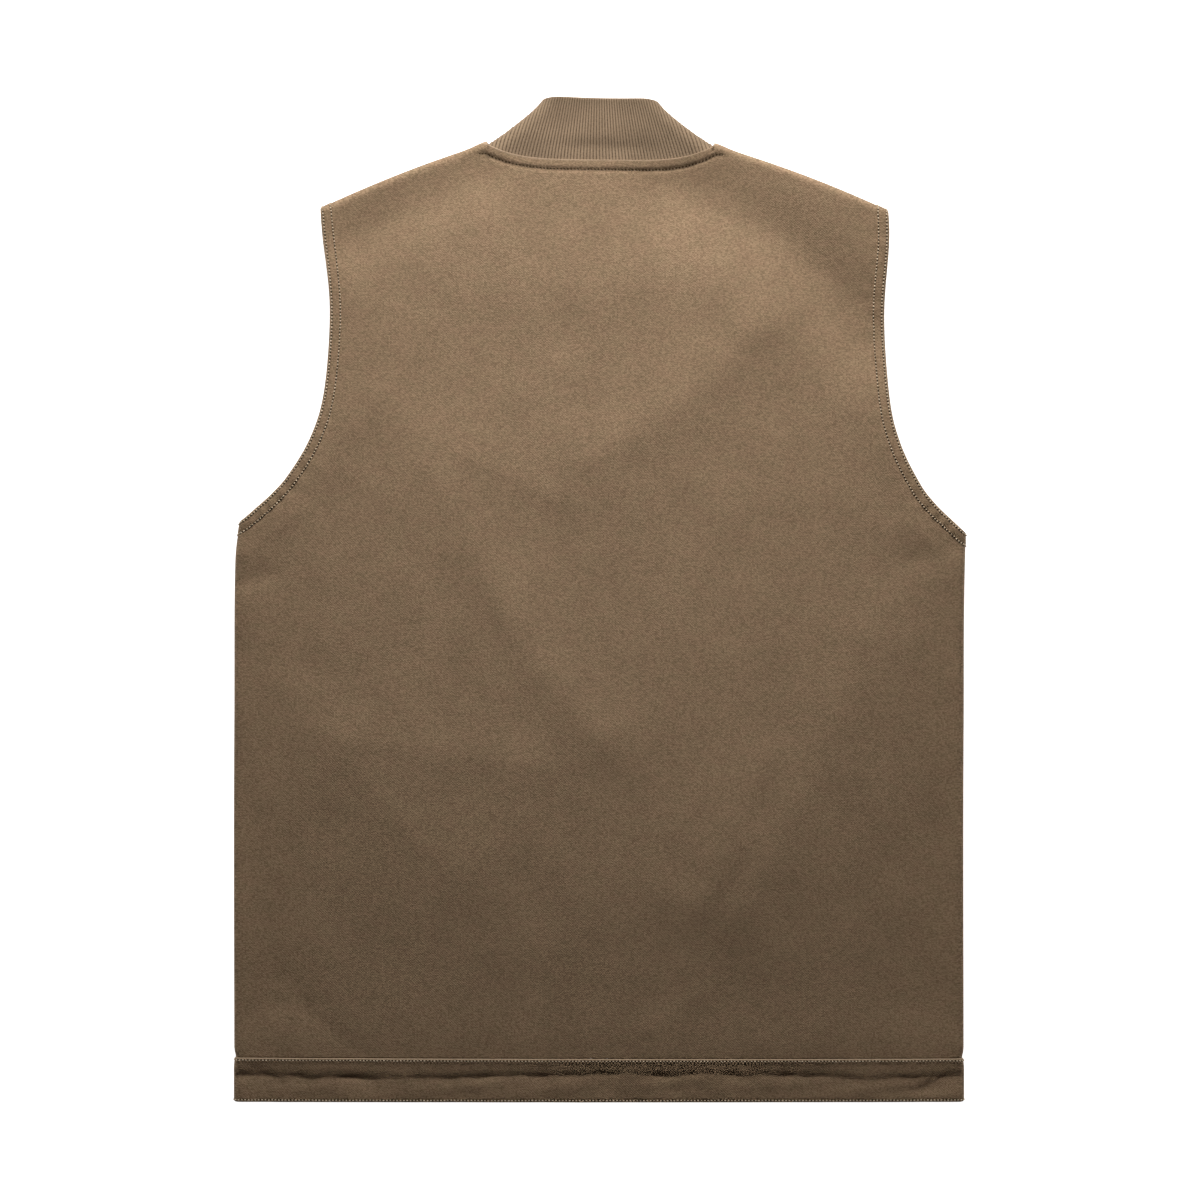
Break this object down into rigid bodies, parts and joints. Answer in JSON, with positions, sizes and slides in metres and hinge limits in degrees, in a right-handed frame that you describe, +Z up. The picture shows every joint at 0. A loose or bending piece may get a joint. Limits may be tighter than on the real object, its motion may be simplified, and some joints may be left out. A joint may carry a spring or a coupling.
{
  "type": "work vest",
  "caption": "Sleeveless canvas work vest with a rib knit collar, stitched armhole bands and a wide hem band, lying flat on its zipped front with the back up",
  "frame": {"origin": "under the middle of the vest, on the surface that it lies on", "axes": "+Y runs from the hem to the collar, +X to the wearer's right, +Z up from the surface to the back of the vest"},
  "size_m": [0.5639, 0.7736, 0.0338],
  "materials": {
    "canvas": "matte",
    "canvas_band": "matte",
    "rib_knit": "matte",
    "zip": "satin"
  },
  "bodies": {
    "root": {"back_panel": "canvas", "front_panel_left": "canvas", "front_panel_right": "canvas", "armhole_band_left": "canvas_band", "armhole_band_right": "canvas_band", "hem_band": "canvas_band", "rib_collar": "rib_knit", "front_zip": "zip"}
  },
  "joints": []
}
